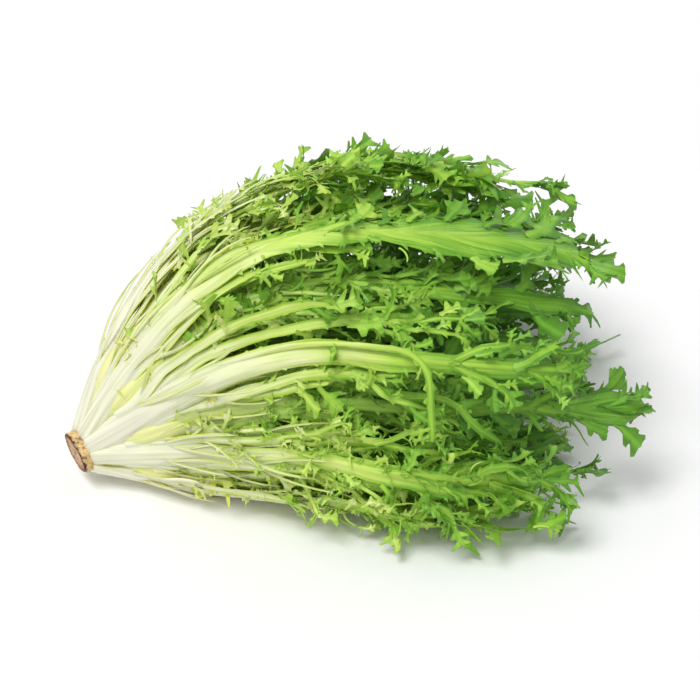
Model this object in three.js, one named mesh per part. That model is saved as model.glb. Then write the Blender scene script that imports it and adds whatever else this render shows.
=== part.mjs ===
// A curly endive head, cut at the root and lying on its side on a flat surface.
//
// The head is a stump that carries six whorls of leaves, wrapped one inside the next.
// Every leaf is a solid of its own: a thick, narrow stalk that opens into a thin lobed blade.
// The whorls share one map of the head, which turns a place along the head's axis, a share of
// the head's radius and an angle round the axis into a point. Leaves that hold different shares
// and angles of that map can't cross, however the head bends, and those underneath lie flat.
//
// Millimetres and degrees. +X runs along the head from the cut stump to the leaf tips, +Y runs
// across it and +Z is up. The head rests on the plane z = 0, and its origin is the bottom centre
// of its bounding box.
import * as THREE from "three";

// The head's axis, from the cut stump to the leaf tips, and how far the outermost whorl stands
// off it at each of those points: to the side, above and below.
const AXIS_POINTS = [
  [0, 0, 21],
  [27, 16, 27],
  [54, 29, 30],
  [101, 45, 32],
  [158, 55, 31],
  [227, 62, 29],
  [312, 64, 26],
];
const SPREAD = [
  [13, 13, 13],
  [45, 48, 28],
  [71, 79, 31],
  [101, 106, 33],
  [125, 108, 33],
  [120, 96, 31],
  [92, 64, 28],
];
// Below 1, the underside of the head is squarer than an ellipse, as leaves pressed flat are.
const UNDERSIDE_POWER = 0.55;

// Stump: a cylinder cut back from the axis's start, its bevelled rim, and the top of its dome
const STUMP_RADIUS = 11;
const STUMP_CUT_BACK = 7.5;
const STUMP_BEVEL = 1;
const STUMP_SIDES = 24;
const STUMP_GAP = 0.35;
const DOME_LEAST_RADIUS = 0.8;
const DOME_TOP_RISE = 1;

// Leaf stalk and blade. The outline is half the leaf's width by the share of its length.
const STALK_THICKNESS = 3.3;
const BLADE_THICKNESS = 1.2;
const STALK_ENDS_AT = 0.62;
const EDGE_THICKNESS = 1.0;
const OUTLINE = [
  [0, 4.3],
  [0.1, 6.2],
  [0.24, 6.6],
  [0.4, 13],
  [0.6, 22],
  [0.8, 27],
  [0.93, 18],
  [1, 2.5],
];
// Lobes: where they start, how deep they're cut, and how far their tips sweep along the axis
const LOBES_START_AT = 0.3;
const SINUS_SHARE = 0.55;
const LOBE_SWEEP = 0.018;
// The half width of a leaf, at most, as a share of the angle between two leaves of its whorl
const CELL_SHARE = 0.43;
const RINGS_PER_LEAF = 18;
const RINGS_PER_HEART_LEAF = 13;
// The turn in radians over which the width of a radian is measured
const MEASURING_TURN = 0.01;

// Each whorl: its share of the head's radius, where its leaves leave the stump, how wide its
// blades are, and one row a leaf: [angle round the axis, share of the axis that it reaches].
// Angle 0 is the +Y side and 90 is up.
const WHORLS = [
  {
    name: "outer_leaf",
    share: 1,
    startMm: 3,
    breadth: 1.1,
    rings: RINGS_PER_LEAF,
    leaves: [
      [65, 0.82],
      [103, 0.87],
      [139, 0.83],
      [172, 0.81],
      [214, 0.78],
      [254, 0.85],
      [290, 0.9],
      [337, 0.83],
      [21, 0.78],
    ],
  },
  {
    name: "second_leaf",
    share: 0.81,
    startMm: 8,
    breadth: 1.05,
    rings: RINGS_PER_LEAF,
    leaves: [
      [77, 0.86],
      [115, 0.88],
      [153, 0.96],
      [197, 0.86],
      [237, 0.82],
      [277, 0.9],
      [317, 0.88],
      [357, 0.86],
      [37, 0.84],
    ],
  },
  {
    name: "third_leaf",
    share: 0.63,
    startMm: 13,
    breadth: 0.95,
    rings: RINGS_PER_LEAF,
    leaves: [
      [100, 0.85],
      [145, 0.84],
      [190, 0.84],
      [235, 0.82],
      [280, 0.88],
      [325, 0.85],
      [10, 0.82],
      [55, 0.84],
    ],
  },
  {
    name: "fourth_leaf",
    share: 0.46,
    startMm: 18,
    breadth: 0.8,
    rings: RINGS_PER_LEAF,
    leaves: [
      [120, 0.8],
      [171, 0.78],
      [223, 0.82],
      [274, 0.8],
      [326, 0.76],
      [17, 0.78],
      [69, 0.8],
    ],
  },
  {
    name: "inner_leaf",
    share: 0.3,
    startMm: 22,
    breadth: 0.62,
    rings: RINGS_PER_HEART_LEAF,
    leaves: [
      [90, 0.68],
      [150, 0.64],
      [210, 0.66],
      [270, 0.62],
      [330, 0.6],
      [30, 0.64],
    ],
  },
  {
    name: "heart_leaf",
    share: 0.15,
    startMm: 26,
    breadth: 0.42,
    rings: RINGS_PER_HEART_LEAF,
    leaves: [
      [45, 0.5],
      [135, 0.46],
      [225, 0.48],
      [315, 0.44],
    ],
  },
];

// Finish
const OUTER_LEAF_COLOR = new THREE.Color(0x6ea035);
const HEART_LEAF_COLOR = new THREE.Color(0xe0e27a);
const LEAF_ROUGHNESS = 0.5;
const STUMP_MATERIAL = new THREE.MeshStandardMaterial({
  color: 0xd2ac6c,
  roughness: 0.85,
  metalness: 0,
});

// The corners of a leaf's ring that each triangle of its flat end joins
const END_TRIANGLES = [
  [0, 1, 4],
  [0, 4, 5],
  [1, 2, 3],
  [1, 3, 4],
];

const vectorOf = ([x, y, z]) => new THREE.Vector3(x, y, z);
const axis = new THREE.CatmullRomCurve3(AXIS_POINTS.map(vectorOf));
const spread = new THREE.CatmullRomCurve3(SPREAD.map(vectorOf));
const AXIS_LENGTH = axis.getLength();

// The frame of the head's cross-section at a share of the axis's length.
function sectionAt(along) {
  const t = axis.getUtoTmapping(Math.min(along, 1));
  const forward = axis.getTangent(t);
  const side = new THREE.Vector3(-forward.y, forward.x, 0).normalize();
  const up = new THREE.Vector3().crossVectors(forward, side);
  return {
    centre: axis.getPoint(t),
    reach: spread.getPoint(t),
    forward,
    side,
    up,
  };
}

// The map of the head: a point on its cross-section, kept off the floor.
function headPoint(along, share, angle) {
  const { centre, reach, side, up } = sectionAt(along);
  const sine = Math.sin(angle);
  const rise =
    sine >= 0 ? reach.y * sine : -reach.z * Math.abs(sine) ** UNDERSIDE_POWER;
  const point = centre
    .clone()
    .addScaledVector(side, share * reach.x * Math.cos(angle))
    .addScaledVector(up, share * rise);
  point.z = Math.max(point.z, 0);
  return point;
}

// Straight lines through [place, value] rows.
function valueAt(rows, place) {
  const next = rows.findIndex((row) => row[0] >= place);
  if (next <= 0) return rows[Math.max(next, 0)][1];
  const [x0, y0] = rows[next - 1];
  const [x1, y1] = rows[next];
  return THREE.MathUtils.mapLinear(place, x0, x1, y0, y1);
}

// One ring of a leaf: its left edge, middle and right edge on the outside, then back inside.
function leafRing(whorl, [angleDeg, reaches], index) {
  const place = index / (whorl.rings - 1);
  const starts = whorl.startMm / AXIS_LENGTH;
  const along = THREE.MathUtils.lerp(starts, reaches, place);
  const angle = THREE.MathUtils.degToRad(angleDeg);
  const pitch = (2 * Math.PI) / whorl.leaves.length;

  const middle = headPoint(along, whorl.share, angle);
  const beside = headPoint(along, whorl.share, angle + MEASURING_TURN);
  const mmPerRadian = middle.distanceTo(beside) / MEASURING_TURN;
  const halfWidth =
    valueAt(OUTLINE, place) * (place > LOBES_START_AT ? whorl.breadth : 1);
  const halfAngle = Math.min(halfWidth / mmPerRadian, CELL_SHARE * pitch);
  const isLobed = place > LOBES_START_AT && index < whorl.rings - 1;
  const lobeOf = (parity) =>
    !isLobed || index % 2 === parity ? 1 : SINUS_SHARE;

  const thickness = THREE.MathUtils.lerp(
    STALK_THICKNESS,
    BLADE_THICKNESS,
    THREE.MathUtils.smoothstep(place, 0, STALK_ENDS_AT),
  );
  const { centre } = sectionAt(along);
  const inwards = (point, distance) =>
    point
      .clone()
      .addScaledVector(centre.clone().sub(point).normalize(), distance);
  const edgeAt = (sign, lobe) =>
    headPoint(
      along + (isLobed && lobe === 1 ? LOBE_SWEEP : 0),
      whorl.share,
      angle + sign * halfAngle * lobe,
    );
  const left = edgeAt(1, lobeOf(0));
  const right = edgeAt(-1, lobeOf(1));
  return [
    left,
    middle,
    right,
    inwards(right, EDGE_THICKNESS),
    inwards(middle, thickness),
    inwards(left, EDGE_THICKNESS),
  ];
}

// A closed skin over rings of the same number of points, with flat ends.
function skinOver(rings) {
  const count = rings[0].length;
  const indices = [];
  for (let ring = 0; ring < rings.length - 1; ring += 1) {
    for (let i = 0; i < count; i += 1) {
      const a = ring * count + i;
      const b = ring * count + ((i + 1) % count);
      indices.push(a, b + count, b, a, a + count, b + count);
    }
  }
  const last = (rings.length - 1) * count;
  for (const [i, j, k] of END_TRIANGLES) {
    indices.push(i, j, k, last + i, last + k, last + j);
  }
  const geometry = new THREE.BufferGeometry().setFromPoints(rings.flat());
  geometry.setIndex(indices);
  geometry.computeVertexNormals();
  return geometry;
}

// Leaves are paler towards the heart, and darker green outside.
function leafMaterial(whorlIndex) {
  const inwardShare = whorlIndex / (WHORLS.length - 1);
  return new THREE.MeshStandardMaterial({
    color: OUTER_LEAF_COLOR.clone().lerp(HEART_LEAF_COLOR, inwardShare),
    roughness: LEAF_ROUGHNESS,
    metalness: 0,
  });
}

// The stump: a short cylinder that was cut across, and a dome that carries the whorls. Its dome
// passes just inside the foot of each whorl.
function makeStump() {
  const profile = [
    new THREE.Vector2(0, -STUMP_CUT_BACK),
    new THREE.Vector2(STUMP_RADIUS - STUMP_BEVEL, -STUMP_CUT_BACK),
    new THREE.Vector2(STUMP_RADIUS, STUMP_BEVEL - STUMP_CUT_BACK),
  ];
  for (const whorl of WHORLS) {
    const foot = sectionAt(whorl.startMm / AXIS_LENGTH);
    const smallest = Math.min(foot.reach.x, foot.reach.y, foot.reach.z);
    const radius = whorl.share * smallest - STALK_THICKNESS - STUMP_GAP;
    const height = whorl.startMm - STUMP_GAP;
    profile.push(new THREE.Vector2(Math.max(radius, DOME_LEAST_RADIUS), height));
  }
  const top = WHORLS.at(-1).startMm + DOME_TOP_RISE;
  profile.push(new THREE.Vector2(0, top));
  const stump = new THREE.Mesh(
    new THREE.LatheGeometry(profile, STUMP_SIDES),
    STUMP_MATERIAL,
  );
  const start = sectionAt(0);
  stump.quaternion.setFromUnitVectors(
    new THREE.Vector3(0, 1, 0),
    start.forward,
  );
  stump.position.copy(start.centre);
  stump.name = "stump";
  return stump;
}

const head = new THREE.Group();
head.add(makeStump());
WHORLS.forEach((whorl, whorlIndex) => {
  const material = leafMaterial(whorlIndex);
  whorl.leaves.forEach((leaf, leafIndex) => {
    const rings = [];
    for (let index = 0; index < whorl.rings; index += 1) {
      rings.push(leafRing(whorl, leaf, index));
    }
    const mesh = new THREE.Mesh(skinOver(rings), material);
    mesh.name = `${whorl.name}_${leafIndex + 1}`;
    head.add(mesh);
  });
});

// The origin is the bottom centre of the bounding box.
const box = new THREE.Box3().setFromObject(head, true);
head.position.set(
  -(box.min.x + box.max.x) / 2,
  -(box.min.y + box.max.y) / 2,
  -box.min.z,
);

export default head;
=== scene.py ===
"""A head of curly endive lying on its side: the looks of its stump and leaves.

Each leaf is drawn in a flat space of its own, as [distance from the foot, sideways, outwards],
and is then laid along the mid-line of its solid. All lengths are metres.
"""

import math

import bpy
import numpy as np
from bpy.props import EnumProperty, FloatProperty, FloatVectorProperty, IntProperty, PointerProperty
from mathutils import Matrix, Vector


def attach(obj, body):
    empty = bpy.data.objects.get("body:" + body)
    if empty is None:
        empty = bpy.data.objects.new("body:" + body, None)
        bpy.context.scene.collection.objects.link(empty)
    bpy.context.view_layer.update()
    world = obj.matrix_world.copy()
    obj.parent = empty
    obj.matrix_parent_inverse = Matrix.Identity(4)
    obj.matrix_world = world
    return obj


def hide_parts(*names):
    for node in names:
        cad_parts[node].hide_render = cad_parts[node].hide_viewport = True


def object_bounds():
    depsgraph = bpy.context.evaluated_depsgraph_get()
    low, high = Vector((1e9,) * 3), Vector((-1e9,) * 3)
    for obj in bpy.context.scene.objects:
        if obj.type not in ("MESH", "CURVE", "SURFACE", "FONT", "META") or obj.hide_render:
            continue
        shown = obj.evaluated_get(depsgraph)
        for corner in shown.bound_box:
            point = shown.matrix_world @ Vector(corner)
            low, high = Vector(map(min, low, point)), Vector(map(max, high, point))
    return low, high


bl_info = {
    "name": "Curly endive head",
    "version": (1, 0, 0),
    "blender": (4, 5, 0),
    "location": "3D View > Sidebar > Endive",
    "description": "Builds the stump, the curled leaves and the stage of a head of curly endive",
    "category": "Object",
}

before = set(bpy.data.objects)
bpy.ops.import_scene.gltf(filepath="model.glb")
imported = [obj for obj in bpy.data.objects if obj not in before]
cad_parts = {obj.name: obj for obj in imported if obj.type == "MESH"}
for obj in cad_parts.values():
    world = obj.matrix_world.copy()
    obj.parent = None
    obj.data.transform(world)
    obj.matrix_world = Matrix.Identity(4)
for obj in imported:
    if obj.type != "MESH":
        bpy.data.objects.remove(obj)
CAD_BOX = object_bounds()

MM = 0.001

# How the solids are read: the corners of a ring, the length of head whose middle a leaf faces
# away from, the steps of a route, and the steps to each side over which it is eased.
RING_CORNERS = 6
HEAD_SLICE = 30 * MM
ROUTE_STEP = 2 * MM
EASING_STEPS = 14
# How a leaf is laid: the most that anything stands to the side and outwards, and how deep the
# loose blade lies in its solid where the leaf stands upright.
SIDE_LIMIT = 46 * MM
OUT_LIMIT = 7 * MM
BLADE_SINK = 6 * MM
# Where leaves are pressed flat above the floor and bend over above their solids, and how gently.
FLOOR_GAP = 0.4 * MM
FLOOR_EASING = 4 * MM
CEILING_RISE = 5 * MM
CEILING_EASING = 10 * MM
# How far a stalk starts inside the stump, how round the crescent is that branches leave it from,
# how much longer it stays bare than they do, and how much the veins of a broad blade fan out.
STALK_START = 8 * MM
CRESCENT_RADIUS = 20 * MM
STALK_BARE = 0.16
VEIN_SPREAD = 0.25
# The spacing of rows along a stalk or branch and along a side rib, in row steps of their leaf, and
# how much of an edge a tooth takes to each side of its point.
STALK_ROWS = 3.0
SIDE_ROWS = 2.4
HALF_TOOTH = 1.2 * MM
# The share of side ribs that stray from their course, and the most of the length left above its
# start that a side rib takes.
STRAY_CHANCE = 0.12
ROOM_TAKEN = 1.1
# The stretch of a rib that low curls grow on, and how far they lift.
FRILL_RANGE = (0.2, 0.5)
FRILL_LIFT = 0.27
# The rib that hangs from a stalk: the share of the leaf and the distance sideways where it leaves
# it, the share that it runs up, how far it hangs down, and where and how much it bends over.
HANGING_START = (0.28, 4.5 * MM)
HANGING_UP = 0.4
HANGING_DOWN = 66 * MM
HANGING_BEND = (-12 * MM, 24 * MM)
HANGING_ANGLE = 1.5
# Where the surface turns by more than this, the two layers of a blade fold back on each other.
# Points closer than the merge distance are joined.
FOLD_ANGLE = 2.0
MERGE_DISTANCE = 0.001 * MM
# The stump: its length, the points around it, the waves of its torn rim, how rough its cut and
# side are, and how deep the cut is dished.
STUMP_LENGTH = 12 * MM
STUMP_SIDES = 96
RIM_WAVES = 21
RIM_TEAR = 0.035
CUT_ROUGHNESS = 0.008
SIDE_ROUGHNESS = 0.024
CUT_DISH = 0.9 * MM
# Each leaf and the stump draw at random from a seed of their own.
SEEDS_OF_A_WHORL = 20
STUMP_SEED = 7

# The whorls from the outside in. A leaf's age sets its size and colours, and its fullness the
# number of side ribs. Branches are the strong ones to each side of the stalk, bare is the share
# of the leaf below its first side ribs, swell is how many millimetres its ribs bulge out low
# down, frill is the size of the curls there, and slot is the name of its finish.
WHORLS = {
    name: dict(zip(("age", "fullness", "branches", "bare", "swell", "frill", "slot"), row))
    for name, row in {
        "outer_leaf": (1.0, 1.0, 4, 0.3, 0, 0.0, "green_leaf"),
        "second_leaf": (0.6, 0.9, 3, 0.07, 6, 0.9, "green_leaf"),
        "third_leaf": (0.4, 0.6, 2, 0.07, 5, 0.9, "pale_leaf"),
        "fourth_leaf": (0.25, 0.3, 2, 0.1, 2, 0.7, "pale_leaf"),
        "inner_leaf": (0.15, 0.3, 1, 0.1, 0, 0.6, "yellow_leaf"),
        "heart_leaf": (0.0, 0.3, 1, 0.1, 0, 0.0, "yellow_leaf"),
    }.items()
}
# The shape of a usual leaf.
PLAIN_SHAPE = {
    "blade": 0.0,  # how far the midrib widens into a broad blade
    "from": 0.42,  # the share of the leaf's length where that starts
    "strap": 0.0,  # how wide the stalk stays along the middle
    "barer": 0.0,  # how much longer it stays bare than its whorl
    "hanging": False,  # whether a long rib hangs from it
    "fewer": 0,  # how many strong branches it lacks on each side
    "tone": 0.0,  # how much greener it is
    "lobes": 1.0,  # how large its lobes are
    "lift": 0.0,  # how far its lower side ribs lift, in radians
    "frill": 0.0,  # how much larger its low curls are than its whorl's
}
LEAF_SHAPES = {
    name: PLAIN_SHAPE | changes
    for name, changes in {
        # outer_leaf_1 and second_leaf_1 lie on top of the head, where their lobes shade each other.
        # Their low tone makes them paler: partly their own pale colour and partly painted light on
        # that shaded top.
        "outer_leaf_1": {"lobes": 1.25, "strap": 0.5, "tone": -0.18},
        "outer_leaf_2": {"blade": 1.0, "strap": 0.2, "barer": 0.14, "lift": -0.25},
        "outer_leaf_3": {"strap": 1.0, "barer": 0.2, "hanging": True, "fewer": 2},
        "outer_leaf_4": {"blade": 0.2, "from": 0.5, "barer": -0.1, "frill": 1.2},
        "outer_leaf_5": {"tone": -0.1, "frill": 0.8},
        "outer_leaf_6": {"tone": -0.1, "frill": 0.4},
        "outer_leaf_7": {"blade": 0.5, "from": 0.5},
        "outer_leaf_9": {"lobes": 1.2, "lift": 0.2},
        "second_leaf_1": {"lift": 0.35, "lobes": 1.2, "tone": -0.16, "barer": 0.16, "frill": -0.35},
        "second_leaf_2": {"blade": 0.25, "from": 0.6, "lift": 0.35, "lobes": 1.1, "frill": 0.45},
        "second_leaf_3": {"blade": 0.8, "from": 0.78, "lobes": 0.8, "frill": 0.35},
        "second_leaf_4": {"lift": 0.25, "frill": 0.7},
    }.items()
}
# The lobe shapes: pairs of fingers, how blunt they are, half width, how much wider it gets
# towards its end, hook and curl in radians, and length of a finger, in lobe lengths. Each kind
# of lobe is one of these shapes with turns and sizes of its own.
LOBE_SHAPES = tuple(
    dict(zip(("pairs", "blunt", "half", "flare", "hook", "curl", "finger"), row))
    for row in (
        (2, 0.035, 0.09, 0.9, 0.5, 0.8, 0.2),
        (3, 0.03, 0.1, 1.1, 0.6, 0.6, 0.17),
        (2, 0.05, 0.1, 0.6, 0.9, 0.7, 0.24),
        (1, 0.05, 0.09, 0.4, 1.2, 0.9, 0.24),
        (2, 0.06, 0.13, 0.7, 0.3, 0.5, 0.14),
        (1, 0.05, 0.07, 0.3, 1.5, 1.1, 0.2),
        (2, 0.03, 0.08, 0.6, 0.4, 1.1, 0.26),
        (0, 0.0, 0.05, 0.0, 1.6, 1.5, 0.0),
    )
)
LOBE_KINDS = 24
LOBE_UNIT = 10 * MM

# The way out of a leaf's flat space.
UPWARDS = (0.0, 0.0, 1.0)


# Small helpers


def unit(vectors):
    """Vectors scaled to a length of one."""
    lengths = np.linalg.norm(vectors, axis=-1, keepdims=True)
    return vectors / np.maximum(lengths, 1e-12)


def smoothstep(low, high, value):
    """A smooth rise from 0 at low to 1 at high."""
    share = np.clip((value - low) / (high - low), 0, 1)
    return share * share * (3 - 2 * share)


def turned(vectors, axes, angles):
    """Vectors turned about unit axes."""
    cos, sin = np.cos(angles)[..., None], np.sin(angles)[..., None]
    along = np.sum(axes * vectors, axis=-1, keepdims=True)
    return vectors * cos + np.cross(axes, vectors) * sin + axes * along * (1 - cos)


def smooth_through(rows, per_gap):
    """More rows on a smooth curve through the given ones."""
    rows = np.asarray(rows, float)
    padded = np.concatenate([2 * rows[:1] - rows[1:2], rows, 2 * rows[-1:] - rows[-2:-1]])
    neighbours = (padded[:-3], padded[1:-2], padded[2:-1], padded[3:])
    before, start, end, after = (some[:, None, :] for some in neighbours)
    share = np.linspace(0, 1, per_gap, endpoint=False)[None, :, None]
    curve = 0.5 * (
        2 * start
        + (end - before) * share
        + (2 * before - 5 * start + 4 * end - after) * share**2
        + (3 * start - before - 3 * end + after) * share**3
    )
    return np.concatenate([curve.reshape(-1, rows.shape[1]), rows[-1:]])


def eased(rows):
    """Rows with their kinks rounded off, by a mean over the rows nearby."""
    reach = EASING_STEPS
    start = 2 * rows[:1] - rows[reach:0:-1]
    end = 2 * rows[-1:] - rows[-2 : -reach - 2 : -1]
    padded = np.concatenate([start, rows, end])
    weights = np.hanning(2 * reach + 3)[1:-1]
    weights /= weights.sum()
    columns = [np.convolve(column, weights, mode="valid") for column in padded.T]
    return np.stack(columns, axis=1)


def path_along(start, headings, steps):
    """Points from a start on, each one step further along the mean of its two headings."""
    moves = (headings[1:] + headings[:-1]) / 2 * steps[:, None]
    return start + np.concatenate([np.zeros_like(moves[:1]), np.cumsum(moves, axis=0)])


def distances_along(path):
    """The distance along a path from its start to each of its points."""
    steps = np.linalg.norm(np.diff(path, axis=0), axis=1)
    return np.concatenate([[0], np.cumsum(steps)])


def lengths_at(place, shares, millimetres):
    """Lengths read off a table by share."""
    return np.interp(place, shares, millimetres) * MM


def corners_of(node):
    """The corners of a solid, as loose triangles hold them."""
    return np.array([vertex.co for vertex in node.data.vertices])


def store(mesh, name, kind, values):
    """Stores a value or a vector for each point of a mesh."""
    field = "vector" if kind == "FLOAT_VECTOR" else "value"
    number = np.int32 if kind == "INT" else np.float32
    attribute = mesh.attributes.new(name, kind, "POINT")
    attribute.data.foreach_set(field, np.asarray(values).astype(number).ravel())


# Leaf routes, read from the solids


def rings_of(node, foot):
    """The six-cornered rings of a leaf's solid, from its foot to its tip."""
    corners, merged = np.unique(np.round(corners_of(node), 7), axis=0, return_inverse=True)
    merged = merged.ravel()
    neighbours = [set() for _ in corners]
    for edge in node.data.edges:
        a, b = merged[edge.vertices[0]], merged[edge.vertices[1]]
        neighbours[a].add(b)
        neighbours[b].add(a)
    ring = set(np.argsort(np.linalg.norm(corners - foot, axis=1))[:RING_CORNERS].tolist())
    seen, rings = set(), []
    while ring:
        if len(ring) != RING_CORNERS:
            raise RuntimeError(f"{node.name}: a ring of {len(ring)} corners, not {RING_CORNERS}")
        rings.append(corners[sorted(ring)])
        seen |= ring
        ring = set().union(*(neighbours[i] for i in ring)) - seen
    return rings


def read_ring(ring, forward, outward):
    """The middle, left and right corner of a ring's outer side."""
    order = np.argsort(ring @ np.cross(outward, forward))
    pairs = (ring[order[first : first + 2]] for first in (0, 2, 4))
    right, middle, left = (max(pair, key=lambda corner: corner @ outward) for pair in pairs)
    return middle, left, right


def head_middle(corners, place):
    """The middle of all the solids' corners that lie about as far along the head as a place."""
    near = corners[np.abs(corners[:, 0] - place[0]) < HEAD_SLICE / 2]
    return (near.min(axis=0) + near.max(axis=0)) / 2


class LeafRoute:
    """The mid-line of a leaf's solid, its sideways and outward directions, half width and bends."""

    def __init__(self, node, foot, corners):
        rings = rings_of(node, foot)
        centres = np.array([ring.mean(axis=0) for ring in rings])
        forwards = unit(np.gradient(centres, axis=0))
        middles, outwards, widths, bends = [], [], [], []
        for ring, centre, forward in zip(rings, centres, forwards):
            outward = centre - head_middle(corners, centre)
            outward = unit(outward - outward @ forward * forward)
            middle, left, right = read_ring(ring, forward, outward)
            outward = unit(np.cross(forward, left - right))
            side = np.cross(outward, forward)
            arms = [left - middle, right - middle]
            reaches = [max(abs(arm @ side), 1 * MM) for arm in arms]
            middles.append(middle)
            outwards.append(outward)
            widths.append([max(reaches)])
            bends.append([-2 * (arm @ outward) / reach**2 for arm, reach in zip(arms, reaches)])
        dense = smooth_through(middles, 8)
        reached = distances_along(dense)
        self.length = reached[-1]
        self.grid = np.arange(0, self.length + ROUTE_STEP, ROUTE_STEP)
        self.middle = eased(self.resampled(dense, reached))
        self.forward = unit(np.gradient(self.middle, axis=0))
        outward = eased(self.resampled(smooth_through(outwards, 8), reached))
        outward -= np.sum(outward * self.forward, axis=1, keepdims=True) * self.forward
        self.outward = unit(outward)
        self.side = unit(np.cross(self.outward, self.forward))
        self.width = self.resampled(smooth_through(widths, 8), reached)[:, 0]
        self.bends = eased(self.resampled(smooth_through(np.clip(bends, 0.5, 45), 8), reached))

    def resampled(self, rows, reached):
        """Rows read off at even steps along the leaf."""
        columns = [np.interp(self.grid, reached, column) for column in rows.T]
        return np.stack(columns, axis=1)

    def at(self, rows, distance):
        """Rows read off at any distance from the foot."""
        place = np.clip(distance / ROUTE_STEP, 0, len(self.grid) - 1.001)
        index = place.astype(int)
        share = place - index
        if rows.ndim == 2:
            share = share[..., None]
        return rows[index] * (1 - share) + rows[index + 1] * share

    def place(self, points):
        """Points of the leaf's flat space, laid along its solid."""
        distance, sideways, out = points[..., 0], points[..., 1], points[..., 2]
        sideways = SIDE_LIMIT * np.tanh(sideways / SIDE_LIMIT)
        out = OUT_LIMIT * np.tanh(out / OUT_LIMIT)
        beside = 1 - 0.8 * np.clip(self.at(self.outward, distance)[..., 2], 0, 1)
        out = out - BLADE_SINK * beside * smoothstep(0.2, 0.6, distance / self.length)
        over = distance - np.clip(distance, 0, self.length)
        forward = self.at(self.forward, distance)
        bends = self.at(self.bends, distance)
        bend = np.maximum(np.where(sideways > 0, bends[..., 0], bends[..., 1]), 0.5)
        turn = np.clip(bend * sideways, -1.3, 1.3)
        across = np.sin(turn) / bend + out * np.sin(turn)
        rise = out * np.cos(turn) - (1 - np.cos(turn)) / bend
        return (
            self.at(self.middle, distance)
            + forward * over[..., None]
            + self.at(self.side, distance) * across[..., None]
            + self.at(self.outward, distance) * rise[..., None]
        )

    def directions(self, points, vectors):
        """Directions at points of the flat space, turned as the leaf is laid."""
        reach = 0.2 * MM
        return unit(self.place(points + vectors * reach) - self.place(points))


# Ribs, and the sheets that are laid over them


class Rib:
    """A line in the leaf's flat space, with the way that its upper side faces."""

    def __init__(self, path, face):
        self.path = path
        self.forward = unit(np.gradient(path, axis=0))
        leaning = np.sum(face * self.forward, axis=1, keepdims=True)
        self.face = unit(face - leaning * self.forward)
        self.side = np.cross(self.face, self.forward)
        self.reached = distances_along(path)
        self.length = self.reached[-1]
        self.share = self.reached / self.length

    def at(self, rows, distance):
        """Rows of the rib read off at distances from its start."""
        columns = [np.interp(distance, self.reached, column) for column in rows.T]
        return np.stack(columns, axis=-1)

    def offshoot(self, start, sign, angle, lift, steps):
        """The path, headings and face of a rib that leaves this one at a distance from its start.

        It turns sideways by the angle and outwards by the lift, both given at each of its points.
        """
        all_rows = (self.path, self.forward, self.face, self.side)
        origin, forward, face, side = (self.at(rows, start) for rows in all_rows)
        headings = (
            forward * (np.cos(angle) * np.cos(lift))[:, None]
            + side * (sign * np.sin(angle) * np.cos(lift))[:, None]
            + face * np.sin(lift)[:, None]
        )
        return path_along(origin, headings, steps), headings, np.tile(face, (len(angle), 1))


class Sheet:
    """A growing mesh one layer thick, with the values that the leaf tree and material read."""

    VALUES = ("thick", "rib", "loose", "tone")

    def __init__(self):
        self.points, self.faces, self.grain = [], [], []
        self.values = {name: [] for name in self.VALUES}
        self.count = 0

    def add_rows(self, points, grain, **values):
        """Rows of points with faces between them, that end in a tip at the last row's middle."""
        rows, columns = points.shape[:2]
        index = self.count + np.arange((rows - 1) * columns).reshape(rows - 1, columns)
        quads = np.stack([index[:-1, :-1], index[:-1, 1:], index[1:, 1:], index[1:, :-1]], -1)
        self.faces += quads.reshape(-1, 4).tolist()
        tip = self.count + index.size
        self.faces += [[a, b, tip] for a, b in zip(index[-1, :-1], index[-1, 1:])]
        kept = np.append(np.arange(index.size), (rows - 1) * columns + columns // 2)
        self.points.append(points.reshape(-1, 3)[kept])
        self.grain.append(grain.reshape(-1, 3)[kept])
        for name in self.VALUES:
            value = np.broadcast_to(values[name], (rows, columns)).ravel()[kept].copy()
            if name == "thick":
                value[-1] = 0
            self.values[name].append(value)
        self.count += len(kept)

    def add_ribbon(self, rib, core, left, right, fold, ridge, tone, loose, seed, vein=1, sweep=0.6):
        """A blade over a rib: a raised core between two folded edges, swept forwards.

        Without a core, the rib is a single raised line. The seed tells its grain from others'.
        """
        zero = left * 0
        if core is None:
            offsets = np.stack([left, zero, -right], axis=1)
            heights, veins = [0, 1, 0], [0, 1, 0]
        else:
            offsets = np.stack([core + left, core, zero, -core, -core - right], axis=1)
            heights, veins = [0, 0.6, 1, 0.6, 0], [0, 0.8, 1, 0.8, 0]
        beyond = np.zeros_like(offsets)
        beyond[:, 0], beyond[:, -1] = left, right
        points = (
            rib.path[:, None]
            + rib.side[:, None] * offsets[..., None]
            + rib.forward[:, None] * (beyond * sweep)[..., None]
            + rib.face[:, None] * (beyond * fold)[..., None]
        )
        grain = [rib.reached[:, None] + beyond, offsets, offsets * 0 + seed]
        thick = ridge[:, None] * np.array(heights)[None]
        if core is not None:
            thick[0] = 0
        self.add_rows(
            points,
            np.stack(grain, axis=-1),
            thick=thick,
            rib=vein * np.array(veins)[None],
            loose=loose[:, None],
            tone=tone[:, None],
        )

    def mesh(self, name, place=None):
        """The sheet as a mesh, laid by place if it is given."""
        points = np.concatenate(self.points)
        mesh = bpy.data.meshes.new(name)
        mesh.from_pydata((points if place is None else place(points)).tolist(), [], self.faces)
        for value_name, parts in self.values.items():
            store(mesh, value_name, "FLOAT", np.concatenate(parts))
        store(mesh, "grain", "FLOAT_VECTOR", np.concatenate(self.grain))
        return mesh


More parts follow.
